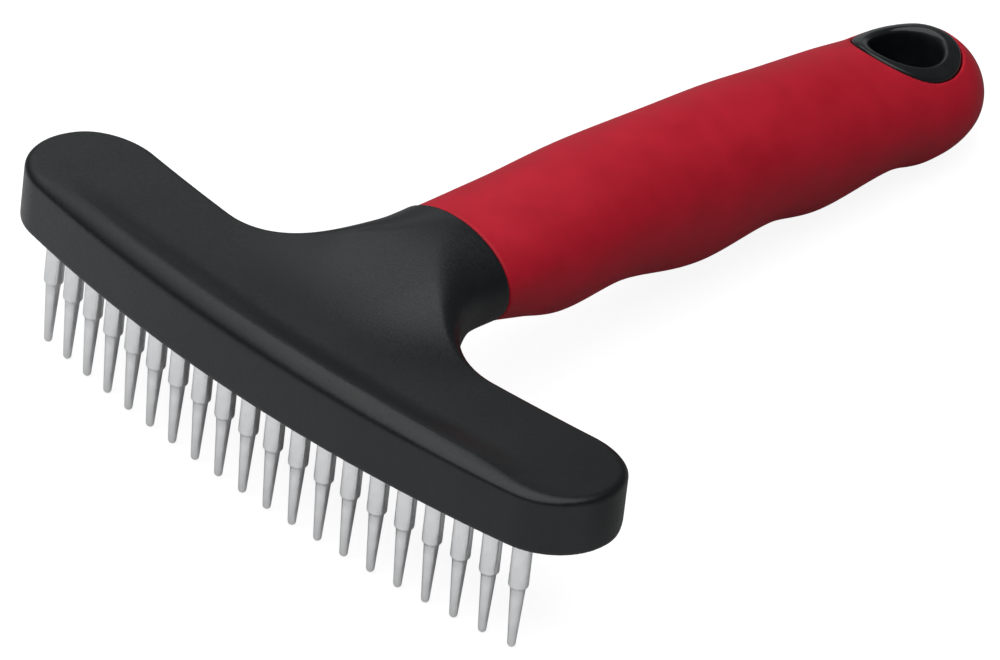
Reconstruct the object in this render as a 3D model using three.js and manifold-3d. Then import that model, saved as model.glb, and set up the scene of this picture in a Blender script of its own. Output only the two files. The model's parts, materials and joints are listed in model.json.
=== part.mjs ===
// Undercoat rake with twenty freely turning steel teeth, modelled in millimetres.
// Frame: X runs along the head, +Y towards the handle's end, +Z up, teeth pointing down.
// Origin: the middle of the tooth carrier's underside, where the curved tooth row crosses x = 0.
import * as THREE from "three";
import { mergeVertices } from "three/addons/utils/BufferGeometryUtils.js";
import Module from "manifold-3d";

const wasm = await Module();
wasm.setup();

// ---- Driving dimensions ------------------------------------------------------------------
const GAP = 0.3; // left between pieces that touch on the real object

// Head: a curved bar with round ends, bowed forwards like the tooth row.
const END_X = 46.35; // centre of each round end
const END_Y = 9.5;
const END_RADIUS = 10.1; // half the bar's depth
const FRONT_Y = -5.15; // foremost point, at x = 0
const WALL_HEIGHT = 8.2; // upright wall from the rim to the start of the front roll
const EDGE_HEIGHT = 8.85; // top edge round the ends and the rear
const EDGE_ROUND = 0.8;
const ROLL_DEPTH = 2.8; // from the front face back to the roll's crest
const CREST_RISE = 1.2; // how much higher the crest is in the middle than near the ends
const CREST_END_HEIGHT = 9.3;
const REAR_MID_Y = 15.7; // rear edge's line at x = 0, inside the neck

// Underside pocket and the parts in it.
const WALL = 1.8;
const CEILING = 6.4;
const CARRIER_THICKNESS = 4;
const RIB_WIDTH = 4.2; // rib that keeps the tooth heads down
const BOSS_RADIUS = 3;
const PILOT_RADIUS = 1.6;
const PILOT_TOP = 7.3;

// Teeth.
const TEETH = 20;
const PITCH = 5;
const ROW_RADIUS = 276;
const TOOTH_LENGTH = 18.6; // below the carrier's underside
const COLLAR_LENGTH = 8.6;
const COLLAR_CHAMFER = 0.4;
const COLLAR_RADIUS = 1.42;
const TAPER_RADIUS = 1.07;
const TIP_RADIUS = 0.62;
const FLANGE_RADIUS = 1.9;
const FLANGE_BOTTOM = 2.75;
const FLANGE_TOP = 3.85;
const BORE_RADIUS = 1.67;
const COUNTERBORE_RADIUS = 2.2;
const COUNTERBORE_FLOOR = 2.6;
const ROUND_SIDES = 12; // sides of a small round

// Carrier screws.
const SCREW_X = [-42, -16, 16, 42];
const SCREW_BEHIND_ROW = 8.2;
const SCREW_HEAD_RADIUS = 2.5;
const SCREW_HEAD_HEIGHT = 1.5;
const SCREW_HEAD_SUNK = 0.2;
const SCREW_SHANK_RADIUS = 1.2;
const SCREW_TOP = 7;
const DRIVE_WIDTH = 0.7;
const DRIVE_LENGTH = 2.8;
const DRIVE_DEPTH = 0.8;

// Neck, tang and grip.
const NECK_START = 0;
const NECK_END = 34.5;
const NECK_ROOT_HEIGHT = 10.2; // top of the neck's root, just behind the roll's crest
const NECK_ROOT_BELT = 5;
const NECK_LIFT = 0.3; // how much higher the neck's top ends than the grip's starts
const NECK_CLIMB = 1.35; // how late the top climbs to the grip: 1 is a straight ramp
const NECK_TOP_SQUARENESS = 2.9; // section powers at the root, where 2 is an oval
const NECK_BOTTOM_SQUARENESS = 7;
const NECK_FLARE_RADIUS = 15; // fillet from the bar's rear edge into the neck
const NECK_SPREAD = 0.5; // widening of the neck's root inside the head, per mm
const GRIP_END = 136.4;
const GRIP_HALF_WIDTH = 11.4;
const GRIP_PALM_WIDENING = 0.5; // how much wider each side is near the end
const GRIP_WALL = 2.7;
const TANG_END = 113.5;
const END_CAP_WIDTH_RUN = 12.8; // length over which the plan rounds off
const END_CAP_HEIGHT_RUN = 6.5;

// Hang hole.
const EYE_Y = 124.1;
const EYE_OUTER_RADIUS = 8;
const EYE_HOLE_RADIUS = 5.2;
const EYE_FLARE = 1.2;
const EYE_FLARE_DEPTH = 2.2;
const EYE_REACH = 30; // any height well past the handle's top and bottom
const EYE_SIDES = 24;

// Top and bottom of the handle on its middle plane, as [y, z].
const TOP_LINE = [
  [NECK_END, 15.1],
  [55, 17.1],
  [77, 17.6],
  [100, 16.3],
  [120, 13.9],
  [GRIP_END, 12.7],
];
const FINGER_LINE = [
  [NECK_END, 0.3],
  [42, -2],
  [49.5, -3.95],
  [61, -3.05],
  [77, -5.85],
  [90.5, -4],
  [100.8, -5.35],
  [113.5, -2.95],
  [121.8, -3.95],
  [131, -2],
  [GRIP_END, -1.8],
];

// ---- Materials ---------------------------------------------------------------------------
const blackPlastic = new THREE.MeshStandardMaterial({ color: 0x1f2223, roughness: 0.55, metalness: 0 });
const redRubber = new THREE.MeshStandardMaterial({ color: 0xa81a2b, roughness: 0.75, metalness: 0 });
const satinSteel = new THREE.MeshStandardMaterial({ color: 0xc9cbcc, roughness: 0.35, metalness: 1 });
const zincSteel = new THREE.MeshStandardMaterial({ color: 0x9a9ea2, roughness: 0.4, metalness: 1 });

// ---- Solids ------------------------------------------------------------------------------
function toSolid(geometry) {
  const bare = new THREE.BufferGeometry();
  bare.setAttribute("position", geometry.getAttribute("position"));
  bare.setIndex(geometry.getIndex());
  const merged = mergeVertices(bare, 1e-3);
  return new wasm.Manifold(
    new wasm.Mesh({
      numProp: 3,
      vertProperties: new Float32Array(merged.getAttribute("position").array),
      triVerts: new Uint32Array(merged.getIndex().array),
    }),
  );
}

function toGeometry(solid) {
  const mesh = solid.getMesh();
  const geometry = new THREE.BufferGeometry();
  geometry.setAttribute("position", new THREE.BufferAttribute(mesh.vertProperties, 3));
  geometry.setIndex(new THREE.BufferAttribute(mesh.triVerts, 1));
  geometry.computeVertexNormals();
  return geometry;
}

function addPart(group, name, solid, material) {
  const mesh = new THREE.Mesh(toGeometry(solid), material);
  mesh.name = name;
  group.add(mesh);
}

// A closed solid through a list of rings, each a list of the same number of Vector3.
function loft(rings) {
  const around = rings[0].length;
  const points = rings.flat();
  const index = [];
  for (let r = 0; r + 1 < rings.length; r++) {
    for (let i = 0; i < around; i++) {
      const j = (i + 1) % around;
      const a = r * around;
      const b = a + around;
      index.push(a + i, a + j, b + j, a + i, b + j, b + i);
    }
  }
  const middles = [rings[0], rings[rings.length - 1]].map((ring) =>
    ring.reduce((sum, p) => sum.add(p), new THREE.Vector3()).divideScalar(around),
  );
  points.push(...middles);
  const last = (rings.length - 1) * around;
  for (let i = 0; i < around; i++) {
    const j = (i + 1) % around;
    index.push(points.length - 2, j, i);
    index.push(points.length - 1, last + i, last + j);
  }
  const geometry = new THREE.BufferGeometry().setFromPoints(points);
  geometry.setIndex(index);
  const solid = toSolid(geometry);
  if (solid.volume() > 0) return solid;
  geometry.setIndex(index.reverse());
  return toSolid(geometry);
}

// A turned solid about an upright axis at (x, y), from a profile of [radius, z] pairs.
function turned(profile, sides, x, y) {
  const points = profile.map(([radius, z]) => new THREE.Vector2(radius, z));
  const geometry = new THREE.LatheGeometry(points, sides);
  geometry.rotateX(Math.PI / 2);
  geometry.translate(x, y, 0);
  return toSolid(geometry);
}

function cylinder(radius, bottom, top, sides, x, y) {
  return turned([[0, bottom], [radius, bottom], [radius, top], [0, top]], sides, x, y);
}

function box(width, depth, bottom, top, x, y) {
  const geometry = new THREE.BoxGeometry(width, depth, top - bottom);
  geometry.translate(x, y, (top + bottom) / 2);
  return toSolid(geometry);
}

// A height read off a smooth line through [y, z] points.
function lineHeight(line) {
  const curve = new THREE.SplineCurve(line.map(([y, z]) => new THREE.Vector2(y, z)));
  const steps = curve.getPoints(400);
  return (y) => {
    const next = steps.findIndex((p) => p.x >= y);
    if (next < 0) return steps[steps.length - 1].y;
    if (next === 0) return steps[0].y;
    const before = steps[next - 1];
    const share = (y - before.x) / (steps[next].x - before.x);
    return before.y + share * (steps[next].y - before.y);
  };
}

// ---- Head outline ------------------------------------------------------------------------
// The front arc touches both round ends from outside, and so does the rear arc from its own side.
const frontArcRadius =
  (END_RADIUS ** 2 - END_X ** 2 - (FRONT_Y - END_Y) ** 2) / (2 * (FRONT_Y - END_Y + END_RADIUS));
const frontCentreY = FRONT_Y + frontArcRadius;
const rearArcRadius =
  (END_X ** 2 + (REAR_MID_Y - END_Y) ** 2 - END_RADIUS ** 2) / (2 * (END_RADIUS - REAR_MID_Y + END_Y));

// Points of the bar's rim, inset by a distance, counterclockwise from the front's left end.
function barRim(inset, frontSteps, endSteps) {
  const rim = [];
  const endRadius = END_RADIUS - inset;
  const frontAngle = Math.atan2(END_Y - frontCentreY, END_X);
  const rearCentreY = REAR_MID_Y + rearArcRadius;
  const rearAngle = Math.atan2(END_Y - rearCentreY, END_X);
  const frontHalf = frontAngle + Math.PI / 2;
  const rearHalf = rearAngle + Math.PI / 2;
  const add = (x, y, normalAngle) => {
    const point = new THREE.Vector2(x, y);
    point.normalAngle = normalAngle;
    rim.push(point);
  };
  for (let i = 0; i < frontSteps; i++) {
    const angle = -Math.PI / 2 - frontHalf + (2 * frontHalf * i) / frontSteps;
    const radius = frontArcRadius - inset;
    add(radius * Math.cos(angle), frontCentreY + radius * Math.sin(angle), angle);
  }
  for (let i = 0; i < endSteps; i++) {
    const angle = frontAngle + ((Math.PI + rearAngle - frontAngle) * i) / endSteps;
    add(END_X + endRadius * Math.cos(angle), END_Y + endRadius * Math.sin(angle), angle);
  }
  for (let i = 0; i < frontSteps; i++) {
    const angle = rearAngle - (2 * rearHalf * i) / frontSteps;
    const radius = rearArcRadius + inset;
    add(radius * Math.cos(angle), rearCentreY + radius * Math.sin(angle), angle + Math.PI);
  }
  for (let i = 0; i < endSteps; i++) {
    const angle = -rearAngle + ((Math.PI + rearAngle - frontAngle) * i) / endSteps;
    add(-END_X + endRadius * Math.cos(angle), END_Y + endRadius * Math.sin(angle), angle);
  }
  return rim;
}

function extrudeRim(rim, bottom, top) {
  const geometry = new THREE.ExtrudeGeometry(new THREE.Shape(rim), {
    depth: top - bottom,
    bevelEnabled: false,
  });
  geometry.translate(0, 0, bottom);
  return toSolid(geometry);
}

// The tooth row's y at a given x.
function rowY(x) {
  return ROW_RADIUS - Math.sqrt(ROW_RADIUS ** 2 - x ** 2);
}

// Height of the bar's top at a rim point, a distance in from its edge.
function barTop(point, inset) {
  const frontness = Math.max(0, -Math.sin(point.normalAngle)) ** 2;
  const along = Math.min(1, Math.abs(point.x) / END_X);
  const crest = CREST_END_HEIGHT + CREST_RISE * (1 - along ** 2);
  const rollShare = Math.min(1, inset / ROLL_DEPTH);
  const front = WALL_HEIGHT + (crest - WALL_HEIGHT) * Math.sin((rollShare * Math.PI) / 2);
  const edgeShare = Math.min(1, inset / EDGE_ROUND);
  const rear = EDGE_HEIGHT - EDGE_ROUND * (1 - Math.sqrt(1 - (1 - edgeShare) ** 2));
  const dish = Math.max(0, (inset - ROLL_DEPTH) / (END_RADIUS - ROLL_DEPTH));
  return rear + (front - rear) * frontness * (1 - dish ** 2);
}

function headBar() {
  const FRONT_STEPS = 22;
  const END_STEPS = 12;
  const insets = [0, EDGE_ROUND * 0.3, EDGE_ROUND, ROLL_DEPTH * 0.5, ROLL_DEPTH, 7, END_RADIUS - 0.05];
  const rings = [barRim(0, FRONT_STEPS, END_STEPS).map((p) => new THREE.Vector3(p.x, p.y, 0))];
  for (const inset of insets) {
    const rim = barRim(inset, FRONT_STEPS, END_STEPS);
    rings.push(rim.map((p) => new THREE.Vector3(p.x, p.y, barTop(p, inset))));
  }
  return ribbonLoft(rings, FRONT_STEPS, END_STEPS);
}

// The bar's rings end in a thin closed sliver along its spine, which is zipped across.
function ribbonLoft(rings, frontSteps, endSteps) {
  const around = rings[0].length;
  const points = rings.flat();
  const index = [];
  for (let r = 0; r + 1 < rings.length; r++) {
    for (let i = 0; i < around; i++) {
      const j = (i + 1) % around;
      const a = r * around;
      const b = a + around;
      index.push(a + i, a + j, b + j, a + i, b + j, b + i);
    }
  }
  const zip = (base, flip) => {
    const order = [];
    for (let i = 0; i <= frontSteps; i++) order.push([i, (2 * frontSteps + endSteps - i) % around]);
    const quad = (a, b, c, d) => {
      const faces = flip ? [a, c, b, a, d, c] : [a, b, c, a, c, d];
      index.push(...faces.map((v) => base + v));
    };
    for (let i = 0; i < frontSteps; i++) {
      quad(order[i][0], order[i + 1][0], order[i + 1][1], order[i][1]);
    }
    const fan = (first, start, count) => {
      for (let k = 1; k + 1 <= count; k++) {
        const a = first;
        const b = (start + k) % around;
        const c = (start + k + 1) % around;
        index.push(...(flip ? [a, c, b] : [a, b, c]).map((v) => base + v));
      }
    };
    fan(frontSteps, frontSteps, endSteps);
    fan(2 * frontSteps + endSteps, 2 * frontSteps + endSteps, endSteps);
  };
  zip(0, true);
  zip((rings.length - 1) * around, false);
  const geometry = new THREE.BufferGeometry().setFromPoints(points);
  geometry.setIndex(index);
  return toSolid(geometry);
}

// A curved strip along the tooth row, used as the rib over the tooth heads.
function rowStrip(width, halfLength, bottom, top) {
  const STEPS = 24;
  const halfAngle = Math.asin(halfLength / ROW_RADIUS);
  const shape = new THREE.Shape();
  for (let i = 0; i <= STEPS; i++) {
    const angle = halfAngle * ((2 * i) / STEPS - 1);
    const radius = ROW_RADIUS + width / 2;
    shape[i ? "lineTo" : "moveTo"](radius * Math.sin(angle), ROW_RADIUS - radius * Math.cos(angle));
  }
  for (let i = 0; i <= STEPS; i++) {
    const angle = halfAngle * (1 - (2 * i) / STEPS);
    const radius = ROW_RADIUS - width / 2;
    shape.lineTo(radius * Math.sin(angle), ROW_RADIUS - radius * Math.cos(angle));
  }
  const geometry = new THREE.ExtrudeGeometry(shape, { depth: top - bottom, bevelEnabled: false });
  geometry.translate(0, 0, bottom);
  return toSolid(geometry);
}

// ---- Neck and handle sections ------------------------------------------------------------
const topHeight = lineHeight(TOP_LINE);
const fingerHeight = lineHeight(FINGER_LINE);

// A rounded section in the plane y, widest at its belt, with its own squareness above and below.
function sectionRing(y, halfWidth, bottom, belt, top, topPower, bottomPower, sides) {
  const ring = [];
  for (let i = 0; i < sides; i++) {
    const angle = (2 * Math.PI * i) / sides;
    const cos = Math.cos(angle);
    const sin = Math.sin(angle);
    const power = sin >= 0 ? topPower : bottomPower;
    const reach = sin >= 0 ? top - belt : belt - bottom;
    const x = halfWidth * Math.sign(cos) * Math.abs(cos) ** (2 / power);
    const z = belt + reach * Math.sign(sin) * Math.abs(sin) ** (2 / power);
    ring.push(new THREE.Vector3(x, y, z));
  }
  return ring;
}

// The handle's oval section, a distance in from its surface.
function handleRing(y, inset, sides) {
  const widening = THREE.MathUtils.smoothstep(y, 90, 130) * GRIP_PALM_WIDENING;
  const widthShare = Math.max(0, (y - (GRIP_END - END_CAP_WIDTH_RUN)) / END_CAP_WIDTH_RUN);
  const heightShare = Math.max(0, (y - (GRIP_END - END_CAP_HEIGHT_RUN)) / END_CAP_HEIGHT_RUN);
  const halfWidth = (GRIP_HALF_WIDTH + widening) * Math.sqrt(1 - widthShare ** 2) - inset;
  const middle = (topHeight(y) + fingerHeight(y)) / 2;
  const fullReach = (topHeight(y) - fingerHeight(y)) / 2;
  const reach = fullReach * Math.sqrt(1 - heightShare ** 2) - inset;
  return sectionRing(y, halfWidth, middle - reach, middle, middle + reach, 2, 2, sides);
}

// y stations from start to end, closing up towards the rounded end of the handle.
function handleStations(start, end, step) {
  const straightEnd = Math.min(end, GRIP_END - END_CAP_WIDTH_RUN);
  const count = Math.round((straightEnd - start) / step);
  const stations = [];
  for (let i = 0; i <= count; i++) stations.push(start + ((straightEnd - start) * i) / count);
  const CAP_STEPS = 8;
  const LAST_ANGLE = 0.47 * Math.PI;
  for (let i = 1; i <= CAP_STEPS && straightEnd < end; i++) {
    stations.push(straightEnd + END_CAP_WIDTH_RUN * Math.sin((LAST_ANGLE * i) / CAP_STEPS));
  }
  return stations;
}

const HANDLE_SIDES = 24;
const TANG_STEP = 7;
const tangStations = handleStations(NECK_END, TANG_END, TANG_STEP);

// The neck is as wide as the grip down to NECK_FLARE_Y, and flares into the head over a fillet below it.
const NECK_FLARE_Y = REAR_MID_Y + NECK_FLARE_RADIUS;

function neckHalfWidth(y) {
  if (y >= NECK_FLARE_Y) return GRIP_HALF_WIDTH;
  const down = Math.min(NECK_FLARE_Y - y, NECK_FLARE_RADIUS);
  const flare = NECK_FLARE_RADIUS - Math.sqrt(NECK_FLARE_RADIUS ** 2 - down ** 2);
  return GRIP_HALF_WIDTH + flare + NECK_SPREAD * Math.max(0, REAR_MID_Y - y);
}

function neckRing(y, sides) {
  const along = THREE.MathUtils.clamp((y - NECK_START) / (NECK_END - NECK_START), 0, 1);
  const topEnd = topHeight(NECK_END) + NECK_LIFT;
  const top = THREE.MathUtils.lerp(NECK_ROOT_HEIGHT, topEnd, along ** NECK_CLIMB);
  const leave = THREE.MathUtils.smoothstep(y, REAR_MID_Y, NECK_END);
  const bottom = THREE.MathUtils.lerp(0, fingerHeight(NECK_END), leave);
  const belt = THREE.MathUtils.lerp(NECK_ROOT_BELT, (top + bottom) / 2, leave);
  const topPower = THREE.MathUtils.lerp(NECK_TOP_SQUARENESS, 2, leave);
  const bottomPower = THREE.MathUtils.lerp(NECK_BOTTOM_SQUARENESS, 2, Math.sqrt(leave));
  return sectionRing(y, neckHalfWidth(y), bottom, belt, top, topPower, bottomPower, sides);
}

function neckAndTang() {
  const rings = [];
  const ROOT_STEPS = 4;
  for (let i = 0; i < ROOT_STEPS; i++) {
    rings.push(neckRing(NECK_START + ((REAR_MID_Y - NECK_START) * i) / ROOT_STEPS, HANDLE_SIDES));
  }
  const FLARE_STEPS = 7;
  for (let i = 0; i <= FLARE_STEPS; i++) {
    const angle = (Math.PI / 2) * (1 - i / FLARE_STEPS);
    rings.push(neckRing(NECK_FLARE_Y - NECK_FLARE_RADIUS * Math.sin(angle), HANDLE_SIDES));
  }
  rings.push(neckRing((NECK_FLARE_Y + NECK_END) / 2, HANDLE_SIDES));
  rings.push(neckRing(NECK_END, HANDLE_SIDES));
  for (const y of tangStations) rings.push(handleRing(y, GRIP_WALL + GAP, HANDLE_SIDES));
  return loft(rings);
}

// ---- Parts -------------------------------------------------------------------------------
function screwPlaces() {
  return SCREW_X.map((x) => [x, rowY(x) + SCREW_BEHIND_ROW]);
}

function toothPlaces() {
  const places = [];
  for (let i = 0; i < TEETH; i++) {
    const angle = ((i - (TEETH - 1) / 2) * PITCH) / ROW_RADIUS;
    places.push([ROW_RADIUS * Math.sin(angle), ROW_RADIUS * (1 - Math.cos(angle))]);
  }
  return places;
}

// Black moulding: head, neck and the tang inside the grip, hollow underneath.
function headBody() {
  const underCarrier = CARRIER_THICKNESS + GAP;
  let pocket = extrudeRim(barRim(WALL, 22, 10), -1, CEILING);
  pocket = pocket.subtract(rowStrip(RIB_WIDTH, END_X + 4, FLANGE_TOP + GAP, CEILING + 1));
  for (const [x, y] of screwPlaces()) {
    pocket = pocket.subtract(cylinder(BOSS_RADIUS, underCarrier, CEILING + 1, ROUND_SIDES, x, y));
  }
  let body = headBar().add(neckAndTang()).subtract(pocket);
  for (const [x, y] of screwPlaces()) {
    body = body.subtract(cylinder(PILOT_RADIUS, underCarrier - 1, PILOT_TOP, ROUND_SIDES, x, y));
  }
  return body;
}

// Black strip that the teeth stand in, let into the head's underside.
function toothCarrier() {
  let carrier = extrudeRim(barRim(WALL + GAP, 22, 8), 0, CARRIER_THICKNESS);
  const above = CARRIER_THICKNESS + 1;
  for (const [x, y] of toothPlaces()) {
    const bore = [
      [0, -1],
      [BORE_RADIUS, -1],
      [BORE_RADIUS, COUNTERBORE_FLOOR],
      [COUNTERBORE_RADIUS, COUNTERBORE_FLOOR],
      [COUNTERBORE_RADIUS, above],
      [0, above],
    ];
    carrier = carrier.subtract(turned(bore, ROUND_SIDES, x, y));
  }
  const recessRadius = SCREW_HEAD_RADIUS + 1.5 * GAP;
  const recessFloor = SCREW_HEAD_SUNK + SCREW_HEAD_HEIGHT + GAP;
  for (const [x, y] of screwPlaces()) {
    const recess = [
      [0, -1],
      [recessRadius, -1],
      [recessRadius, recessFloor],
      [PILOT_RADIUS, recessFloor],
      [PILOT_RADIUS, above],
      [0, above],
    ];
    carrier = carrier.subtract(turned(recess, ROUND_SIDES, x, y));
  }
  return carrier;
}

// Steel pin: head above the carrier's step, straight collar, short chamfer, long taper, round tip.
function tooth(x, y) {
  const tip = -TOOTH_LENGTH;
  const profile = [
    [0, tip],
    [TIP_RADIUS * 0.62, tip + TIP_RADIUS * 0.12],
    [TIP_RADIUS, tip + TIP_RADIUS * 0.75],
    [TAPER_RADIUS, -COLLAR_LENGTH - COLLAR_CHAMFER],
    [COLLAR_RADIUS, -COLLAR_LENGTH],
    [COLLAR_RADIUS, FLANGE_BOTTOM],
    [FLANGE_RADIUS, FLANGE_BOTTOM],
    [FLANGE_RADIUS, FLANGE_TOP],
    [0, FLANGE_TOP],
  ];
  return turned(profile, ROUND_SIDES, x, y);
}

function carrierScrew(x, y) {
  const underHead = SCREW_HEAD_SUNK + SCREW_HEAD_HEIGHT;
  const profile = [
    [0, SCREW_HEAD_SUNK],
    [SCREW_HEAD_RADIUS - 0.5, SCREW_HEAD_SUNK],
    [SCREW_HEAD_RADIUS, SCREW_HEAD_SUNK + 0.5],
    [SCREW_HEAD_RADIUS, underHead],
    [SCREW_SHANK_RADIUS, underHead],
    [SCREW_SHANK_RADIUS, SCREW_TOP - 0.8],
    [0, SCREW_TOP],
  ];
  const driveTop = SCREW_HEAD_SUNK + DRIVE_DEPTH;
  return turned(profile, ROUND_SIDES, x, y)
    .subtract(box(DRIVE_LENGTH, DRIVE_WIDTH, -1, driveTop, x, y))
    .subtract(box(DRIVE_WIDTH, DRIVE_LENGTH, -1, driveTop, x, y));
}

function handleOutside() {
  const GRIP_STEP = 3.5;
  const stations = handleStations(NECK_END + GAP, GRIP_END, GRIP_STEP);
  return loft(stations.map((y) => handleRing(y, 0, HANDLE_SIDES)));
}

// Red soft sleeve over the tang, with finger grooves below and a round seat for the eyelet.
function grip() {
  const boreStations = [NECK_END - 1, ...tangStations.slice(1, -1), TANG_END + GAP];
  const bore = loft(boreStations.map((y) => handleRing(y, GRIP_WALL, HANDLE_SIDES)));
  const seat = cylinder(EYE_OUTER_RADIUS + GAP, -EYE_REACH, EYE_REACH, EYE_SIDES, 0, EYE_Y);
  return handleOutside().subtract(bore).subtract(seat);
}

// Black ring that lines the hang hole, flush with the grip above and below.
function hangEyelet() {
  const top = topHeight(EYE_Y);
  const bottom = fingerHeight(EYE_Y);
  const hole = [
    [0, -EYE_REACH],
    [EYE_HOLE_RADIUS + EYE_FLARE, -EYE_REACH],
    [EYE_HOLE_RADIUS + EYE_FLARE, bottom],
    [EYE_HOLE_RADIUS, bottom + EYE_FLARE_DEPTH],
    [EYE_HOLE_RADIUS, top - EYE_FLARE_DEPTH],
    [EYE_HOLE_RADIUS + EYE_FLARE, top],
    [EYE_HOLE_RADIUS + EYE_FLARE, EYE_REACH],
    [0, EYE_REACH],
  ];
  return handleOutside()
    .intersect(cylinder(EYE_OUTER_RADIUS, -EYE_REACH, EYE_REACH, EYE_SIDES, 0, EYE_Y))
    .subtract(turned(hole, EYE_SIDES, 0, EYE_Y));
}

// ---- Assembly ----------------------------------------------------------------------------
const rake = new THREE.Group();
addPart(rake, "head_body", headBody(), blackPlastic);
addPart(rake, "tooth_carrier", toothCarrier(), blackPlastic);
addPart(rake, "grip", grip(), redRubber);
addPart(rake, "hang_eyelet", hangEyelet(), blackPlastic);

const teeth = new THREE.Group();
toothPlaces().forEach(([x, y], i) => {
  addPart(teeth, `tooth_${String(i + 1).padStart(2, "0")}`, tooth(x, y), satinSteel);
});
rake.add(teeth);

screwPlaces().forEach(([x, y], i) => {
  addPart(rake, `carrier_screw_${i + 1}`, carrierScrew(x, y), zincSteel);
});

export default rake;
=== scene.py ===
"""Looks of an undercoat rake: black moulded head, red soft grip, twenty turning steel teeth.

Pieces are built in millimetres in the CAD model's own frame and scaled to metres as they are made.
X runs along the head, +Y towards the handle's end, +Z up, and the teeth point down.
Smooth pieces come from signed fields, negative inside, that are meshed with quads where they are zero.
"""

import json
import math

import bpy
import numpy as np
from mathutils import Matrix, Vector


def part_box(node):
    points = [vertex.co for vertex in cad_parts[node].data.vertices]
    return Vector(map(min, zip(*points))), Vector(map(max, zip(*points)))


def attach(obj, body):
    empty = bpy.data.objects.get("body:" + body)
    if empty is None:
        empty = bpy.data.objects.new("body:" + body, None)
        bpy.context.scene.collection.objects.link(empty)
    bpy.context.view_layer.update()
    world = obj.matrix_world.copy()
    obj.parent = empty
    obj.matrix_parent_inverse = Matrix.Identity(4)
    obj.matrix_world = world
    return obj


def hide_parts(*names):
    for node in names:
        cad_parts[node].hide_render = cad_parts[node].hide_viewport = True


MM = 0.001

# ---- Head (mm) ---------------------------------------------------------------------------
END_RADIUS = 10.1  # the bar's round ends
END_Y = 9.5  # centre of each round end
REAR_MID_Y = 15.7  # rear edge's line at x = 0, inside the neck
WALL_TOP = 7.9  # where the front face starts to roll back
EDGE_HEIGHT = 8.85  # top edge round the ends and the rear
EDGE_ROUND = 1.0
RIM_ROUND = 0.4  # lower edge of the wall
ROLL_DEPTH = 2.8  # from the front face back to the roll's crest
ROLL_FADE = 4.5  # how quickly the top falls away behind the crest
ROLL_DIES = (ROLL_DEPTH + 1, END_RADIUS - 0.3)  # from the front, where it dies away towards the rear
CREST_POWER = 1.25  # the roll's section at its crest: 2 is an ellipse's, less is sharper
FOOT_POWER = 2.2  # and at the wall, where more is softer
ROLL_RUNS_OUT = (38, 62)  # along the front edge from the middle, where the roll fades
CREST_SOFTNESS = 0.25
CREST_END_RISE = 0.5  # crest above the top edge, near the ends
CREST_MID_RISE = 1.7  # and in the middle
WALL = 1.8
CEILING = 6.4  # of the hollow under the bar
CLEARANCE = 0.15  # between pieces that touch
FLARE_RADIUS = 15  # fillet from the bar's rear edge into the neck
NECK_PROUD = 0.15  # how far the neck's sides stand out past the grip's
NECK_LIFT = 0.3  # how much higher its top ends than the grip's starts

# ---- Neck and handle (mm) ----------------------------------------------------------------
NECK_END = 34.5
NECK_RISE_Y = 5  # where the top starts to climb
NECK_SPREAD_Y = 8  # where the climb starts to widen
NECK_FULL = (1, 12)  # half width of the full climb, there and at the neck's end
NECK_NONE = (26, 30)  # half width where the climb has faded out, at the same two places
NECK_END_SLOPE = 0.06  # of the neck's top where it meets the grip
NECK_BLEND = (14, NECK_END)  # where the section's top turns from a slab into an oval
NECK_LOW_BLEND = (12.5, 28.5)  # and its bottom
GRIP_START = 34.65
GRIP_END = 136.4
GRIP_HALF_WIDTH = 11.4
PALM_WIDENING = 0.5
PALM_RUN = (90, 130)  # where the grip widens
END_WIDTH_RUN = 12.8
END_HEIGHT_RUN = 6.5
LAST_OVAL = 0.9995  # how much of those runs the ovals shrink over, just short of a point
GRIP_WALL = 2.7
LIP_HEIGHT = 0.05  # of the grip's start, a soft bead
EYE_LIP_HEIGHT = 0.1  # and of the one round the eyelet
LIP_INSET = 0.4
EYE_LIP_INSET = 0.5
LIP_WIDTH = 0.5
TANG_WALL = 3.0
TANG_END = 113.5
TANG_GAP = 0.3  # past its end
TANG_ROOT = 2  # how far it starts inside the neck
TOP_LINE = [(NECK_END, 15.1), (55, 17.1), (77, 17.6), (100, 16.3), (120, 13.9), (136.4, 12.7)]
FINGER_LINE = [
    (NECK_END, 0.35), (42, -1.85), (49.5, -3.95), (61, -3.05), (77, -5.85), (90.5, -4),
    (100.8, -5.35), (113.5, -2.95), (121.8, -3.95), (131, -2), (136.4, -1.8),
]

# ---- Hang hole (mm) ----------------------------------------------------------------------
EYE_Y = 124.1
EYE_OUTER = 8.0
EYE_HOLE = 5.2
EYE_FLARE = 0.7
EYE_FLARE_DEPTH = 2.2
EYE_FLARE_LIMIT = 1.6  # of the flare's share, past the mouths
EYE_PROUD = 0.22
EYE_RIM_ROUND = 0.45
EYE_MOUTH_ROUND = 0.8

# ---- Teeth and screws (mm) ---------------------------------------------------------------
COLLAR_LENGTH = 8.6
COLLAR_RADIUS = 1.42
TAPER_RADIUS = 1.07
TIP_RADIUS = 0.6
TIP_TURN = math.radians(86.4)  # how far the tip's round runs before the taper
CHAMFER = 0.4
COLLAR_EDGE = [(0.1, -0.06), (0.03, 0.02), (0, 0.14)]  # (in from the collar's side, up from its end)
SHOULDER = 0.1  # slack before the chamfer and the pin's head
STEP = 0.05  # the pin's small steps there
PIN_HEAD = (2.75, 3.85, 1.9)  # bottom, top and radius of the head above the carrier's step
PIN_HEAD_EDGES = (0.1, 0.15)  # its bottom and top chamfers
BORE_RADIUS = 1.59
STEP_HEIGHT = 2.6
STEP_RADIUS = 2.15
BORE_SLOPE = 0.1
CARRIER_TOP = 4.0
SCREW_HEAD_RADIUS = 2.5
SCREW_HEAD = (0.2, 1.7)
SCREW_DOME = 0.09
SHANK_RADIUS = 1.2
SHANK_BOTTOM = 1  # inside the head
SHANK_TOP = 7
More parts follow.
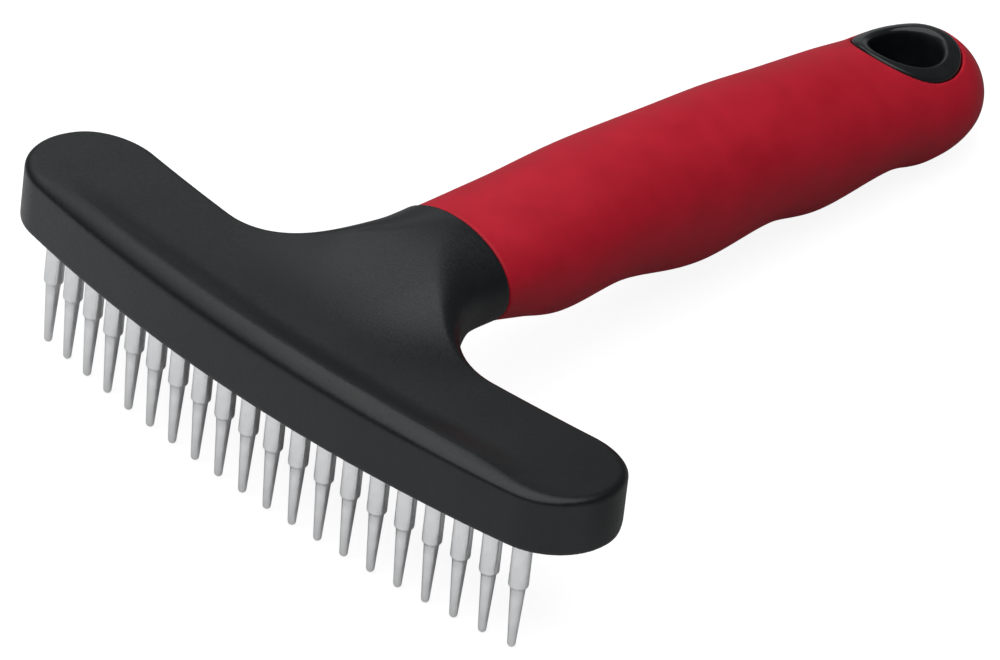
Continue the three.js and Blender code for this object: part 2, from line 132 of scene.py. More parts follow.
CROSS_DEPTH = 1.1
CROSS_ARM = (0.38, 0.12)  # half width at the face, and how much less per mm of depth
CROSS_REACH = (1.5, 0.75)  # and the same for its length
SCREW_RECESS = 2.85
RIB_HALF_WIDTH = 2.1
BOSS_RADIUS = 3.0
PILOT_RADIUS = 1.6
PILOT_TOP = 7.3

# ---- Edges (mm) --------------------------------------------------------------------------
CROSS_EDGE = 0.12
THIN_EDGE = 0.15
FINE_EDGE = 0.2
CLOSE_EDGE = 0.25
SOFT_EDGE = 0.3
SLAB_EDGE = 0.35
BROAD_EDGE = 0.4
TANG_ROUND = 0.8

# ---- Mesh cells (mm) ---------------------------------------------------------------------
BODY_CELL = 0.32
EYELET_CELL = 0.2
CARRIER_CELL = 0.22
SCREW_CELL = 0.11
TOOTH_SIDES = 40

# ---- Camera ------------------------------------------------------------------------------
CAMERA_TARGET = (12.5, 32.14, 4.19)  # mm
CAMERA_AZIMUTH = 42.637
CAMERA_ELEVATION = 31.525
CAMERA_ROLL = 6.805
CAMERA_DISTANCE = 1667.2  # mm
CAMERA_LENS = 434.1  # mm
SENSOR_WIDTH = 36  # mm

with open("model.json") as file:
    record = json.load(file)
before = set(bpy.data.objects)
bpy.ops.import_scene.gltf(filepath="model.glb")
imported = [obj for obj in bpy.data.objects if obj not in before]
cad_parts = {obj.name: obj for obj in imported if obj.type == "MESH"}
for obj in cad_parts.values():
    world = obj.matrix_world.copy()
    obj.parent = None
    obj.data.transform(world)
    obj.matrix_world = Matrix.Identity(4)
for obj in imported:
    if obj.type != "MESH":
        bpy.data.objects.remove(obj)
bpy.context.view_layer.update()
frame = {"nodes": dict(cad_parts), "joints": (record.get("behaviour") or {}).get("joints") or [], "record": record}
ROOT_BODY = "rake_body"


def box_mm(node):
    low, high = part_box(node)
    return np.array(low) / MM, np.array(high) / MM


def teeth():
    """(node, body, x, y) of each tooth, from the hinges."""
    found = []
    for joint in frame["joints"]:
        body = joint["child"]
        node = frame["record"]["behaviour"]["bodies"][body][0]
        x, y, _ = joint["pos_m"]
        found.append((node, body, x / MM, y / MM))
    return found


def screws():
    """(node, x, y) of each carrier screw."""
    found = []
    for node in sorted(frame["nodes"]):
        if node.startswith("carrier_screw"):
            low, high = box_mm(node)
            found.append((node, (low[0] + high[0]) / 2, (low[1] + high[1]) / 2))
    return found


TEETH = teeth()
SCREWS = screws()
HEAD_LOW, HEAD_HIGH = box_mm("head_body")
END_X = HEAD_HIGH[0] - END_RADIUS
FRONT_Y = HEAD_LOW[1]
TOOTH_TIP = box_mm(TEETH[0][0])[0][2]


# ---- Field tools -------------------------------------------------------------------------
def smoothstep(low, high, value):
    share = np.clip((value - low) / (high - low), 0, 1)
    return share * share * (3 - 2 * share)


def mix(a, b, share):
    return a + (b - a) * share


def both(a, b, radius):
    """Intersection of two fields, its edge rounded."""
    corner = np.hypot(np.maximum(a + radius, 0), np.maximum(b + radius, 0))
    return np.minimum(-radius, np.maximum(a, b)) + corner


def either(a, b, radius):
    """Union of two fields with a fillet."""
    corner = np.hypot(np.maximum(radius - a, 0), np.maximum(radius - b, 0))
    return np.maximum(radius, np.minimum(a, b)) - corner


def cut(a, b, radius):
    return both(a, -b, radius)


def smooth_line(points):
    """A height that runs smoothly through (y, z) points."""
    ys = np.array([p[0] for p in points], float)
    zs = np.array([p[1] for p in points], float)
    slopes = np.gradient(zs, ys)
    slopes[1:-1] = (zs[2:] - zs[:-2]) / (ys[2:] - ys[:-2])

    def height(y):
        y = np.clip(y, ys[0], ys[-1])
        i = np.clip(np.searchsorted(ys, y) - 1, 0, len(ys) - 2)
        run = ys[i + 1] - ys[i]
        t = (y - ys[i]) / run
        start = (1 + 2 * t) * (1 - t) ** 2 * zs[i] + t * (1 - t) ** 2 * run * slopes[i]
        end = t * t * (3 - 2 * t) * zs[i + 1] + t * t * (t - 1) * run * slopes[i + 1]
        return start + end

    return height


def project(field, points, step, rounds):
    """Moves points along the field's gradient onto its zero surface."""
    reach = 0.04
    for _ in range(rounds):
        x, y, z = points.T
        value = field(x, y, z)
        gradient = np.stack([
            field(x + reach, y, z) - field(x - reach, y, z),
            field(x, y + reach, z) - field(x, y - reach, z),
            field(x, y, z + reach) - field(x, y, z - reach),
        ], axis=1) / (2 * reach)
        length2 = np.maximum((gradient ** 2).sum(axis=1), 0.05)
        move = gradient * (value / length2)[:, None]
        size = np.linalg.norm(move, axis=1)
        move *= np.minimum(1, 0.5 * step / np.maximum(size, 1e-9))[:, None]
        points = points - move
    return points


def relax(points, quads):
    """Each point goes to the mean of its neighbours."""
    total = np.zeros_like(points)
    count = np.zeros(len(points))
    for k in range(4):
        a, b = quads[:, k], quads[:, (k + 1) % 4]
        for here, there in ((a, b), (b, a)):
            for axis in range(3):
                total[:, axis] += np.bincount(here, points[there, axis], len(points))
            count += np.bincount(here, minlength=len(points))
    return total / np.maximum(count, 1)[:, None]


def field_mesh(field, low, high, step):
    """Points and quads of the surface where field is zero, inside a box."""
    axes = [np.arange(a - step, b + 2 * step, step) for a, b in zip(low, high)]
    shape = tuple(len(a) for a in axes)
    x, y, z = np.meshgrid(*axes, indexing="ij", sparse=True)
    value = np.broadcast_to(field(x, y, z), shape)
    inside = value < 0

    corners = [(i, j, k) for i in (0, 1) for j in (0, 1) for k in (0, 1)]
    count = np.zeros(tuple(n - 1 for n in shape), np.int8)
    for i, j, k in corners:
        count += inside[i:shape[0] - 1 + i, j:shape[1] - 1 + j, k:shape[2] - 1 + k]
    mixed = (count > 0) & (count < 8)
    cells = np.argwhere(mixed)
    ids = np.full(mixed.shape, -1, np.int64)
    ids[mixed] = np.arange(len(cells))

    total = np.zeros((len(cells), 3))
    crossings = np.zeros(len(cells))
    for start in corners:
        for axis in range(3):
            if start[axis]:
                continue
            end = list(start)
            end[axis] = 1
            a = value[tuple((cells + start).T)]
            b = value[tuple((cells + end).T)]
            crossed = (a < 0) != (b < 0)
            share = np.where(crossed, a / np.where(crossed, a - b, 1), 0)
            place = cells + np.array(start, float)
            place[:, axis] += share
            total += place * crossed[:, None]
            crossings += crossed
    points = total / crossings[:, None] * step + np.array([a[0] for a in axes])

    quads = []
    for axis in range(3):
        u, v = (axis + 1) % 3, (axis + 2) % 3
        near = [slice(1, -1)] * 3
        far = [slice(1, -1)] * 3
        near[axis], far[axis] = slice(0, -1), slice(1, None)
        first = inside[tuple(near)]
        edges = np.argwhere(first != inside[tuple(far)])
        leaving = first[tuple(edges.T)]
        base = edges.copy()
        base[:, u] += 1
        base[:, v] += 1
        ring = []
        for du, dv in ((-1, -1), (0, -1), (0, 0), (-1, 0)):
            cell = base.copy()
            cell[:, u] += du
            cell[:, v] += dv
            ring.append(ids[tuple(cell.T)])
        ring = np.stack(ring, axis=1)
        quads.append(np.where(leaving[:, None], ring, ring[:, ::-1]))
    quads = np.concatenate(quads)

    points = project(field, points, step, 3)
    for _ in range(2):
        points = project(field, relax(points, quads), step, 2)
    return points, quads


def make_piece(name, points, faces, material, body, node, place=(0, 0, 0)):
    """A mesh object in metres that stands for a CAD node and rides on its body."""
    mesh = bpy.data.meshes.new(name)
    if isinstance(faces, np.ndarray):
        mesh.vertices.add(len(points))
        mesh.vertices.foreach_set("co", (points * MM).astype(np.float32).ravel())
        mesh.loops.add(faces.size)
        mesh.loops.foreach_set("vertex_index", faces.astype(np.int32).ravel())
        mesh.polygons.add(len(faces))
        mesh.polygons.foreach_set("loop_start", np.arange(0, faces.size, 4, dtype=np.int32))
    else:
        mesh.from_pydata([tuple(p * MM) for p in points], [], faces)
    mesh.update(calc_edges=True)
    mesh.validate()
    mesh.polygons.foreach_set("use_smooth", np.ones(len(mesh.polygons), bool))
    mesh.materials.append(material)
    return place_piece(name, mesh, body, node, place)


def place_piece(name, mesh, body, node, place):
    piece = bpy.data.objects.new(name, mesh)
    bpy.context.scene.collection.objects.link(piece)
    piece.location = Vector(place) * MM
    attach(piece, body)
    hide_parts(node)
    return piece


# ---- Handle ------------------------------------------------------------------------------
top_height = smooth_line(TOP_LINE)
finger_height = smooth_line(FINGER_LINE)


def handle_field(x, y, z):
    """Distance to the handle's outside: ovals along y, rounded off at the end."""
    width_share = np.clip((y - GRIP_END + END_WIDTH_RUN) / END_WIDTH_RUN, 0, LAST_OVAL)
    height_share = np.clip((y - GRIP_END + END_HEIGHT_RUN) / END_HEIGHT_RUN, 0, LAST_OVAL)
    half_width = GRIP_HALF_WIDTH + PALM_WIDENING * smoothstep(*PALM_RUN, y)
    half_width = half_width * np.sqrt(1 - width_share ** 2)
    top, bottom = top_height(y), finger_height(y)
    half_height = (top - bottom) / 2 * np.sqrt(1 - height_share ** 2)
    dz = z - (top + bottom) / 2
    ratio = np.hypot(x / half_width, dz / half_height)
    slope = np.hypot(x / half_width ** 2, dz / half_height ** 2)
    oval = (ratio - 1) * ratio / np.maximum(slope, 1e-3)
    return np.maximum(oval, y - GRIP_END)


def eye_distance(x, y):
    return np.hypot(x, y - EYE_Y)


def grip_field(x, y, z):
    lip = LIP_HEIGHT * np.exp(-(((y - GRIP_START - LIP_INSET) / LIP_WIDTH) ** 2))
    skin = handle_field(x, y, z)
    eye = eye_distance(x, y)
    eye_lip = EYE_LIP_HEIGHT * np.exp(-(((eye - EYE_OUTER - EYE_LIP_INSET) / LIP_WIDTH) ** 2))
    outside = both(skin - lip - eye_lip, GRIP_START - y, CLOSE_EDGE)
    bore = np.maximum(skin + GRIP_WALL, y - TANG_END - TANG_GAP)
    seat = EYE_OUTER + CLEARANCE - eye
    return cut(both(outside, seat, SOFT_EDGE), bore, FINE_EDGE)


def eyelet_field(x, y, z):
    eye = eye_distance(x, y)
    skin = handle_field(x, y, z)
    top, bottom = top_height(EYE_Y), finger_height(EYE_Y)
    depth = np.minimum(top - z, z - bottom)
    flare = EYE_FLARE * np.clip(1 - depth / EYE_FLARE_DEPTH, 0, EYE_FLARE_LIMIT) ** 2
    ring = both(skin - EYE_PROUD, eye - EYE_OUTER, EYE_RIM_ROUND)
    return both(ring, EYE_HOLE + flare - eye, EYE_MOUTH_ROUND)


# ---- Head --------------------------------------------------------------------------------
def arc_radius(depth, radius):
    """Radius of an arc through (0, depth from the end centres' line) that touches the end circles."""
    return (END_X ** 2 + depth ** 2 - radius ** 2) / (2 * (depth + radius))


FRONT_ARC = arc_radius(END_Y - FRONT_Y, -END_RADIUS)
FRONT_CENTRE = FRONT_Y + FRONT_ARC
REAR_ARC = -arc_radius(REAR_MID_Y - END_Y, -END_RADIUS)
REAR_CENTRE = REAR_MID_Y + REAR_ARC


def bar_plan(x, y):
    """Plan distance to the bowed bar's outline."""
    ax = np.abs(x)
    front = np.hypot(ax, y - FRONT_CENTRE) - FRONT_ARC
    rear = REAR_ARC - np.hypot(ax, y - REAR_CENTRE)
    end = np.hypot(ax - END_X, y - END_Y) - END_RADIUS
    before_front = ax * (FRONT_CENTRE - END_Y) - END_X * (FRONT_CENTRE - y) > 0
    before_rear = ax * (REAR_CENTRE - END_Y) - END_X * (REAR_CENTRE - y) > 0
    at_end = np.where(y < END_Y, before_front, before_rear)
    return np.where(at_end, end, np.maximum(front, rear))


def front_roll(x, y):
    """How much of the front's rolled edge a place has, from 0 to 1, and its distance from the front."""
    ax = np.abs(x)
    turn_bar = np.arctan2(ax, FRONT_CENTRE - y)
    turn_end = np.abs(np.arctan2(ax - END_X, END_Y - y))
    before_front = ax * (FRONT_CENTRE - END_Y) - END_X * (FRONT_CENTRE - y) > 0
    end_turn = math.asin(END_X / (FRONT_ARC - END_RADIUS))
    along_end = FRONT_ARC * end_turn + END_RADIUS * (turn_end - end_turn)
    along = np.where(before_front, along_end, FRONT_ARC * turn_bar)
    inset_bar = FRONT_ARC - np.hypot(ax, y - FRONT_CENTRE)
    inset_end = END_RADIUS - np.hypot(ax - END_X, y - END_Y)
    inset = np.where(before_front, inset_end, inset_bar)
    share = 1 - smoothstep(*ROLL_RUNS_OUT, along)
    return share * (1 - smoothstep(*ROLL_DIES, inset)), inset


def crest_rise(x):
    along = np.clip(np.abs(x) / END_X, 0, 1)
    return CREST_END_RISE + (CREST_MID_RISE - CREST_END_RISE) * (1 - along ** 2)


def neck_top(x, y):
    """How far the top has climbed towards the grip."""
    full = TOP_LINE[0][1] - EDGE_HEIGHT
    run = NECK_END - NECK_RISE_Y
    end_slope = NECK_END_SLOPE * run
    t = np.clip((y - NECK_RISE_Y) / run, 0, None)
    inner = (3 * full - end_slope) * t ** 2 + (end_slope - 2 * full) * t ** 3
    climb = np.where(t > 1, full + end_slope * (t - 1), inner)
    share = np.clip((y - NECK_SPREAD_Y) / (NECK_END - NECK_SPREAD_Y), 0, 1)
    return climb * (1 - smoothstep(mix(*NECK_FULL, share), mix(*NECK_NONE, share), np.abs(x)))


def rounding(plan, depth, width, height, across=2, down=2):
    """A face seen in section: its edge is an elliptic round of a given width and height."""
    u = np.maximum(1 + plan / width, 0)
    v = np.maximum(1 - depth / height, 0)
    return ((u ** across + v ** down) ** (2 / (across + down)) - 1) * np.minimum(width, height)


def shoulder_field(x, y, z):
    """The bar and the neck: a slab whose edges' rounding grows until it is the grip's oval."""
    half_width = GRIP_HALF_WIDTH + NECK_PROUD
    bar = bar_plan(x, y)
    neck = either(bar, np.abs(x) - half_width, FLARE_RADIUS)
    plan = np.where((np.abs(x) < half_width + FLARE_RADIUS) & (y > END_Y), neck, bar)
    share, inset = front_roll(x, y)
    rise = crest_rise(x)
    behind = np.maximum(inset - ROLL_DEPTH, 0)
    fall = (np.hypot(behind, CREST_SOFTNESS) - CREST_SOFTNESS) / ROLL_FADE
    blend = smoothstep(*NECK_BLEND, y)
    top = EDGE_HEIGHT + rise * np.exp(-fall) * share + neck_top(x, y) + NECK_LIFT * blend
    bottom = finger_height(NECK_END) * blend
    oval_height = (top_height(NECK_END) - finger_height(NECK_END)) / 2

    roll_width = mix(mix(EDGE_ROUND, ROLL_DEPTH, share), half_width, blend)
    roll_height = mix(mix(EDGE_ROUND, EDGE_HEIGHT + rise - WALL_TOP, share), oval_height, blend)
    across = mix(2, CREST_POWER, share)
    down = mix(2, FOOT_POWER, share)
    upper = rounding(plan, top - z, roll_width, roll_height, across, down)

    blend = smoothstep(*NECK_LOW_BLEND, y)
    rim_width = mix(RIM_ROUND, half_width, blend)
    rim_height = mix(RIM_ROUND, oval_height, blend)
    lower = rounding(plan, z - bottom, rim_width, rim_height)
    return both(np.maximum(upper, lower), y - NECK_END, SOFT_EDGE)


def nearest(x, y, places):
    """Distance in plan to the nearest of several axes."""
    found = None
    for px, py in places:
        away = np.hypot(x - px, y - py)
        found = away if found is None else np.minimum(found, away)
    return found


SCREW_AXES = [(x, y) for _, x, y in SCREWS]
TOOTH_AXES = [(x, y) for _, _, x, y in TEETH]


def row_distance(x, y):
    """Plan distance to the arc that the tooth axes stand on."""
    first_x, first_y = TOOTH_AXES[0]
    # the arc passes through (0, 0) level with X, so its radius follows from any axis
    radius = (first_x ** 2 + first_y ** 2) / (2 * first_y)
    return np.abs(np.hypot(x, y - radius) - radius)


def head_field(x, y, z):
    shoulders = shoulder_field(x, y, z)
    tang = both(handle_field(x, y, z) + TANG_WALL, y - TANG_END, TANG_ROUND)
    tang = np.maximum(tang, NECK_END - TANG_ROOT - y)
    body = either(shoulders, tang, SOFT_EDGE)
    plan = bar_plan(x, y)
    pocket = both(plan + WALL, z - CEILING, BROAD_EDGE)
    rib = both(row_distance(x, y) - RIB_HALF_WIDTH, CARRIER_TOP + CLEARANCE - z, SOFT_EDGE)
    to_screw = nearest(x, y, SCREW_AXES)
    boss = both(to_screw - BOSS_RADIUS, CARRIER_TOP + CLEARANCE - z, SOFT_EDGE)
    pocket = cut(cut(pocket, rib, SOFT_EDGE), boss, SOFT_EDGE)
    body = cut(body, pocket, SOFT_EDGE)
    pilot = np.maximum(to_screw - PILOT_RADIUS, z - PILOT_TOP)
    return cut(body, pilot, CLOSE_EDGE)


def stepped(low_radius, high_radius, step_z, z):
    """Radius of a bore that changes at a height, over a short slope."""
    return mix(low_radius, high_radius, smoothstep(step_z - BORE_SLOPE, step_z + BORE_SLOPE, z))


def carrier_field(x, y, z):
    half_height = CARRIER_TOP / 2
    slab = both(bar_plan(x, y) + WALL + CLEARANCE, np.abs(z - half_height) - half_height, SLAB_EDGE)
    bore = nearest(x, y, TOOTH_AXES) - stepped(BORE_RADIUS, STEP_RADIUS, STEP_HEIGHT, z)
    recess_z = SCREW_HEAD[1] + CLEARANCE
    recess = nearest(x, y, SCREW_AXES) - stepped(SCREW_RECESS, PILOT_RADIUS, recess_z, z)
    return cut(cut(slab, bore, FINE_EDGE), recess, FINE_EDGE)


def screw_field(x, y, z):
    """A pan head with a cross recess, seen from below, and a plain shank."""
    away = np.hypot(x, y)
    bottom, top = SCREW_HEAD
    dome = bottom + SCREW_DOME * away ** 2
    head = both(both(away - SCREW_HEAD_RADIUS, dome - z, SLAB_EDGE), z - top, THIN_EDGE)
    shank = both(away - SHANK_RADIUS, z - SHANK_TOP, BROAD_EDGE)
    shank = np.maximum(shank, SHANK_BOTTOM - z)
    body = either(head, shank, FINE_EDGE)
    depth = z - bottom
    arm = CROSS_ARM[0] - CROSS_ARM[1] * depth
    reach = CROSS_REACH[0] - CROSS_REACH[1] * depth
    slot_x = np.maximum(np.abs(y) - arm, np.abs(x) - reach)
    slot_y = np.maximum(np.abs(x) - arm, np.abs(y) - reach)
    cross = np.maximum(either(slot_x, slot_y, THIN_EDGE), z - bottom - CROSS_DEPTH)
    return cut(body, cross, CROSS_EDGE)


# ---- Teeth -------------------------------------------------------------------------------
def tooth_profile():
    """(radius, z) from the tip up."""
    tip = TOOTH_TIP
    profile = [(0.0, tip)]
    centre_z = tip + TIP_RADIUS
    for i in range(1, 8):
        angle = TIP_TURN * i / 7
        profile.append((TIP_RADIUS * math.sin(angle), centre_z - TIP_RADIUS * math.cos(angle)))

    taper_top = -COLLAR_LENGTH - CHAMFER
    foot_radius, foot_z = profile[-1]
    for i in range(1, 7):
        share = i / 6
        radius = mix(foot_radius, TAPER_RADIUS, share)
        profile.append((radius, mix(foot_z, taper_top - SHOULDER, share)))
    profile.append((TAPER_RADIUS + STEP, taper_top))

    for inwards, up in COLLAR_EDGE:
        profile.append((COLLAR_RADIUS - inwards, -COLLAR_LENGTH + up))
    collar_z = profile[-1][1]
    head_bottom, head_top, head_radius = PIN_HEAD
    for i in range(1, 6):
        profile.append((COLLAR_RADIUS, mix(collar_z, head_bottom - SHOULDER, i / 5)))

    low_edge, top_edge = PIN_HEAD_EDGES
    profile += [
        (COLLAR_RADIUS + STEP, head_bottom), (head_radius - low_edge, head_bottom),
        (head_radius, head_bottom + low_edge), (head_radius, head_top - top_edge),
        (head_radius - top_edge, head_top), (0.0, head_top),
    ]
    return profile


def turned_mesh(profile, sides):
    """Points and faces of a turned piece whose profile starts and ends on the axis."""
    points = [(0, 0, profile[0][1])]
    for radius, z in profile[1:-1]:
        for i in range(sides):
            angle = 2 * math.pi * i / sides
            points.append((radius * math.cos(angle), radius * math.sin(angle), z))
    points.append((0, 0, profile[-1][1]))
    rings = len(profile) - 2
    faces = []
    for i in range(sides):
        j = (i + 1) % sides
        faces.append((0, 1 + j, 1 + i))
        for r in range(rings - 1):
            a = 1 + r * sides
            b = a + sides
            faces.append((a + i, a + j, b + j, b + i))
        last = 1 + (rings - 1) * sides
        faces.append((last + i, last + j, len(points) - 1))
    return np.array(points, float), faces


# ---- Materials ---------------------------------------------------------------------------
class Recipe:
    """A material's node tree, built a node at a time."""

    def __init__(self, name, **settings):
        self.material = bpy.data.materials.new(name)
        self.material.use_nodes = True
        self.nodes = self.material.node_tree.nodes
        self.links = self.material.node_tree.links
        self.shader = self.nodes["Principled BSDF"]
        for socket, value in settings.items():
            self.shader.inputs[socket.replace("_", " ")].default_value = value
        self.place = self.nodes.new("ShaderNodeTexCoord").outputs["Object"]

    def noise(self, scale, detail=2.0, stretch=(1, 1, 1), roughness=0.5):
        mapping = self.nodes.new("ShaderNodeMapping")
        mapping.inputs["Scale"].default_value = stretch
        self.links.new(self.place, mapping.inputs["Vector"])
        node = self.nodes.new("ShaderNodeTexNoise")
        node.inputs["Scale"].default_value = scale
        node.inputs["Detail"].default_value = detail
        node.inputs["Roughness"].default_value = roughness
        self.links.new(mapping.outputs["Vector"], node.inputs["Vector"])
        return node.outputs["Fac"]

    def span(self, value, low, high, from_low=0.3, from_high=0.7):
        node = self.nodes.new("ShaderNodeMapRange")
        node.inputs["From Min"].default_value = from_low
        node.inputs["From Max"].default_value = from_high
        node.inputs["To Min"].default_value = low
        node.inputs["To Max"].default_value = high
        self.links.new(value, node.inputs["Value"])
        return node.outputs["Result"]

    def colours(self, value, stops):
        """A ramp over (position, colour) stops."""
        node = self.nodes.new("ShaderNodeValToRGB")
        ramp = node.color_ramp
        for i, (position, colour) in enumerate(stops):
            stop = ramp.elements[i] if i < 2 else ramp.elements.new(position)
            stop.position = position
            stop.color = (*colour, 1)
        self.links.new(value, node.inputs["Fac"])
        return node.outputs["Color"]

    def bump(self, height, strength, distance, under=None):
        node = self.nodes.new("ShaderNodeBump")
        node.inputs["Strength"].default_value = strength
        node.inputs["Distance"].default_value = distance
        self.links.new(height, node.inputs["Height"])
        if under is not None:
            self.links.new(under, node.inputs["Normal"])
        return node.outputs["Normal"]

    def feed(self, socket, value):
        self.links.new(value, self.shader.inputs[socket])


def black_plastic():
    """Spark-eroded moulded plastic: a fine grain that breaks up a wide, weak gloss."""
    recipe = Recipe("black_plastic", Specular_IOR_Level=0.45)
    grain = recipe.noise(2400, detail=3, roughness=0.6)
    cloud = recipe.noise(90, detail=3)
    tones = [(0.35, (0.0035, 0.0055, 0.006)), (0.68, (0.0065, 0.0088, 0.0096))]
    recipe.feed("Base Color", recipe.colours(cloud, tones))
    recipe.feed("Roughness", recipe.span(grain, 0.3, 0.44))
    recipe.feed("Normal", recipe.bump(grain, 0.3, 0.00008))
    return recipe.material


def gloss_black():
    """The same plastic with a polished face, as the eyelet has."""
    recipe = Recipe("gloss_black", Specular_IOR_Level=0.5)
    cloud = recipe.noise(300, detail=3)
    tones = [(0.35, (0.008, 0.0105, 0.011)), (0.68, (0.012, 0.0145, 0.015))]
    recipe.feed("Base Color", recipe.colours(cloud, tones))
    recipe.feed("Roughness", recipe.span(cloud, 0.2, 0.28))
    recipe.feed("Normal", recipe.bump(cloud, 0.1, 0.00003))
    return recipe.material


def red_rubber():
    """Soft-touch rubber: faint mottling and a powdery sheen at grazing angles."""
    recipe = Recipe("red_rubber", Specular_IOR_Level=0.3, Sheen_Weight=0.05, Sheen_Roughness=0.45,
                    Sheen_Tint=(1.0, 0.5, 0.5, 1))
    mottle = recipe.noise(160, detail=4, roughness=0.6)
    skin = recipe.noise(2600, detail=2)
    tones = [(0.3, (0.5, 0.004, 0.019)), (0.7, (0.6, 0.007, 0.027))]
    recipe.feed("Base Color", recipe.colours(mottle, tones))
    recipe.feed("Roughness", recipe.span(mottle, 0.5, 0.62))
    coarse = recipe.bump(mottle, 0.15, 0.0002)
    recipe.feed("Normal", recipe.bump(skin, 0.12, 0.00005, under=coarse))
    return recipe.material


def tooth_steel():
    """Satin steel with fine streaks along the tooth."""
    recipe = Recipe("tooth_steel", Metallic=1.0)
    streaks = recipe.noise(400, detail=3, stretch=(6, 6, 0.5), roughness=0.7)
    smear = recipe.noise(500, detail=2)
    tones = [(0.3, (0.86, 0.87, 0.87)), (0.7, (0.97, 0.97, 0.96))]
    recipe.feed("Base Color", recipe.colours(smear, tones))
    recipe.feed("Roughness", recipe.span(streaks, 0.17, 0.28))
    recipe.feed("Normal", recipe.bump(streaks, 0.25, 0.00003))
    return recipe.material


def screw_steel():
    """Zinc plating: slightly cloudy and duller than the teeth."""
    recipe = Recipe("screw_steel", Metallic=1.0)
    cloud = recipe.noise(900, detail=4, roughness=0.65)
    tones = [(0.3, (0.38, 0.39, 0.4)), (0.72, (0.55, 0.56, 0.58))]
    recipe.feed("Base Color", recipe.colours(cloud, tones))
    recipe.feed("Roughness", recipe.span(cloud, 0.28, 0.46))
    recipe.feed("Normal", recipe.bump(cloud, 0.1, 0.00002))
    return recipe.material


# ---- Pieces ------------------------------------------------------------------------------
black = black_plastic()
gloss = gloss_black()
red = red_rubber()
steel = tooth_steel()
zinc = screw_steel()

points, quads = field_mesh(head_field, HEAD_LOW, HEAD_HIGH, BODY_CELL)
make_piece("head_shell", points, quads, black, ROOT_BODY, "head_body")

low, high = box_mm("grip")
points, quads = field_mesh(grip_field, low, high, BODY_CELL)
make_piece("grip_sleeve", points, quads, red, ROOT_BODY, "grip")

low, high = box_mm("hang_eyelet")
points, quads = field_mesh(eyelet_field, low, high, EYELET_CELL)
make_piece("eyelet_ring", points, quads, gloss, ROOT_BODY, "hang_eyelet")

low, high = box_mm("tooth_carrier")
points, quads = field_mesh(carrier_field, low, high, CARRIER_CELL)
make_piece("carrier_strip", points, quads, black, ROOT_BODY, "tooth_carrier")

points, faces = turned_mesh(tooth_profile(), TOOTH_SIDES)
pin_mesh = None
for node, body, x, y in TEETH:
    name = node.replace("tooth", "pin")
    if pin_mesh is None:
        pin_mesh = make_piece(name, points, faces, steel, body, node, (x, y, 0)).data
    else:
        place_piece(name, pin_mesh, body, node, (x, y, 0))

low = (-SCREW_HEAD_RADIUS, -SCREW_HEAD_RADIUS, SCREW_HEAD[0])
high = (SCREW_HEAD_RADIUS, SCREW_HEAD_RADIUS, SHANK_TOP)
points, quads = field_mesh(screw_field, low, high, SCREW_CELL)
screw_mesh = None
for number, (node, x, y) in enumerate(SCREWS):
    name = node.replace("carrier_", "")
    if screw_mesh is None:
        piece = make_piece(name, points, quads, zinc, ROOT_BODY, node, (x, y, 0))
        screw_mesh = piece.data
    else:
        piece = place_piece(name, screw_mesh, ROOT_BODY, node, (x, y, 0))
    piece.rotation_euler.z = 0.5 + 1.1 * number  # no two crosses line up


# ---- Studio ------------------------------------------------------------------------------
HANDLE_LOW_SIDE = (60, 134)  # mm, the part of the handle that may touch the table


def floor_slope():
    """(tip y, slope) of a table that the rake rests on with its end teeth and its handle."""
    tip_y = max(y for _, _, _, y in TEETH)
    y = np.linspace(*HANDLE_LOW_SIDE, 300)
    return tip_y, float(np.min((finger_height(y) - TOOTH_TIP) / (y - tip_y)))


# What the floor gives back to the object, with painted shade behind the front teeth, and what the camera sees of
# it.
FLOOR_IN_FRONT = (0.78, 0.78, 0.79)
# painted shade: the floor that the object sees and reflects turns darker behind its front teeth
FLOOR_SHADE_BEHIND = (0.32, 0.32, 0.32)
FLOOR_SHADE_RAMP = (0.0, 0.035)  # metres behind the front teeth
FLOOR_TO_CAMERA = (0.3, 0.3, 0.3)
FLOOR_GLOW = 0.9
FLOOR_HALF = 4.0  # metres
FLOOR_DROP = 0.03  # mm below the teeth


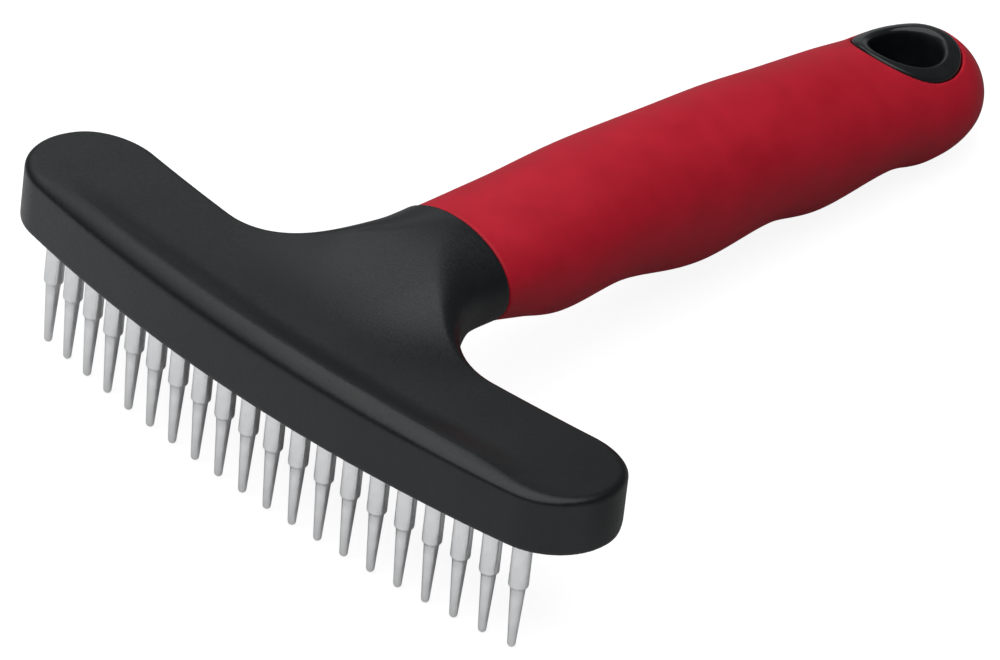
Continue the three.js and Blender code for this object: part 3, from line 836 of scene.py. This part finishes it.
def make_floor():
    tip_y, slope = floor_slope()
    mesh = bpy.data.meshes.new("floor")
    half = FLOOR_HALF
    corners = [(-half, -half, 0), (half, -half, 0), (half, half, 0), (-half, half, 0)]
    mesh.from_pydata(corners, [], [(0, 1, 2, 3)])
    floor = bpy.data.objects.new("floor", mesh)
    bpy.context.scene.collection.objects.link(floor)
    floor.location = (0, tip_y * MM, (TOOTH_TIP - FLOOR_DROP) * MM)
    floor.rotation_euler = (math.atan(slope), 0, 0)
    material = bpy.data.materials.new("floor_paint")
    material.use_nodes = True
    nodes, links = material.node_tree.nodes, material.node_tree.links
    paint = nodes["Principled BSDF"]
    paint.inputs["Roughness"].default_value = 0.9
    paint.inputs["Specular IOR Level"].default_value = 0.1
    seen = nodes.new("ShaderNodeLightPath").outputs["Is Camera Ray"]
    tone = nodes.new("ShaderNodeMix")
    tone.data_type = "RGBA"
    place = nodes.new("ShaderNodeSeparateXYZ")
    links.new(nodes.new("ShaderNodeTexCoord").outputs["Object"], place.inputs["Vector"])
    shade_turn = nodes.new("ShaderNodeMapRange")
    shade_turn.interpolation_type = "SMOOTHSTEP"
    shade_turn.inputs["From Min"].default_value, shade_turn.inputs["From Max"].default_value = FLOOR_SHADE_RAMP
    links.new(place.outputs["Y"], shade_turn.inputs["Value"])
    # painted shade on the floor behind the rake, seen only in the object's reflections and bounce light
    back = nodes.new("ShaderNodeMix")
    back.data_type = "RGBA"
    back.inputs["A"].default_value = (*FLOOR_IN_FRONT, 1)
    back.inputs["B"].default_value = (*FLOOR_SHADE_BEHIND, 1)
    links.new(shade_turn.outputs["Result"], back.inputs["Factor"])
    links.new(back.outputs["Result"], tone.inputs["A"])
    tone.inputs["B"].default_value = (*FLOOR_TO_CAMERA, 1)
    links.new(seen, tone.inputs["Factor"])
    links.new(tone.outputs["Result"], paint.inputs["Base Color"])
    glow = nodes.new("ShaderNodeMath")
    glow.operation = "MULTIPLY"
    glow.inputs[1].default_value = FLOOR_GLOW
    links.new(seen, glow.inputs[0])
    paint.inputs["Emission Color"].default_value = (1, 1, 1, 1)
    links.new(glow.outputs["Value"], paint.inputs["Emission Strength"])
    clear = nodes.new("ShaderNodeBsdfTransparent")
    side = nodes.new("ShaderNodeNewGeometry").outputs["Backfacing"]
    choose = nodes.new("ShaderNodeMixShader")
    links.new(side, choose.inputs["Fac"])
    links.new(paint.outputs["BSDF"], choose.inputs[1])
    links.new(clear.outputs["BSDF"], choose.inputs[2])
    links.new(choose.outputs["Shader"], nodes["Material Output"].inputs["Surface"])
    mesh.materials.append(material)


def soft_box(name, centre, size, radiance):
    """A level softbox over the object that faces down. Centre and size are in metres."""
    data = bpy.data.lights.new(name, "AREA")
    data.shape = "RECTANGLE"
    data.size, data.size_y = size
    data.energy = radiance * math.pi * size[0] * size[1]
    light = bpy.data.objects.new(name, data)
    bpy.context.scene.collection.objects.link(light)
    light.location = centre
    light.visible_camera = False


def direction(azimuth, elevation):
    a, e = math.radians(azimuth), math.radians(elevation)
    return Vector((math.sin(a) * math.cos(e), -math.cos(a) * math.cos(e), math.sin(e)))


def make_camera():
    data = bpy.data.cameras.new("camera")
    data.lens = CAMERA_LENS
    data.sensor_width = SENSOR_WIDTH
    data.clip_start, data.clip_end = 0.05, 50
    camera = bpy.data.objects.new("camera", data)
    bpy.context.scene.collection.objects.link(camera)
    back = direction(CAMERA_AZIMUTH, CAMERA_ELEVATION)
    camera.location = (Vector(CAMERA_TARGET) + back * CAMERA_DISTANCE) * MM
    camera.rotation_mode = "QUATERNION"
    roll = Matrix.Rotation(math.radians(CAMERA_ROLL), 4, back)
    camera.rotation_quaternion = roll.to_quaternion() @ back.to_track_quat("Z", "Y")
    bpy.context.scene.camera = camera


SKY_COLOUR = (0.9, 0.95, 1.0, 1)
SKY_STRENGTH = 0.12


def make_world():
    world = bpy.data.worlds.new("studio")
    world.use_nodes = True
    background = world.node_tree.nodes["Background"]
    background.inputs["Color"].default_value = SKY_COLOUR
    background.inputs["Strength"].default_value = SKY_STRENGTH
    bpy.context.scene.world = world


make_floor()
make_camera()
make_world()
soft_box("overhead", (-0.05, -0.5, 0.8), (1.5, 1.6), 1.55)
soft_box("left_low", (-0.46, 0.27, 0.27), (0.36, 0.5), 0.6)
bpy.context.scene.view_settings.view_transform = "Standard"
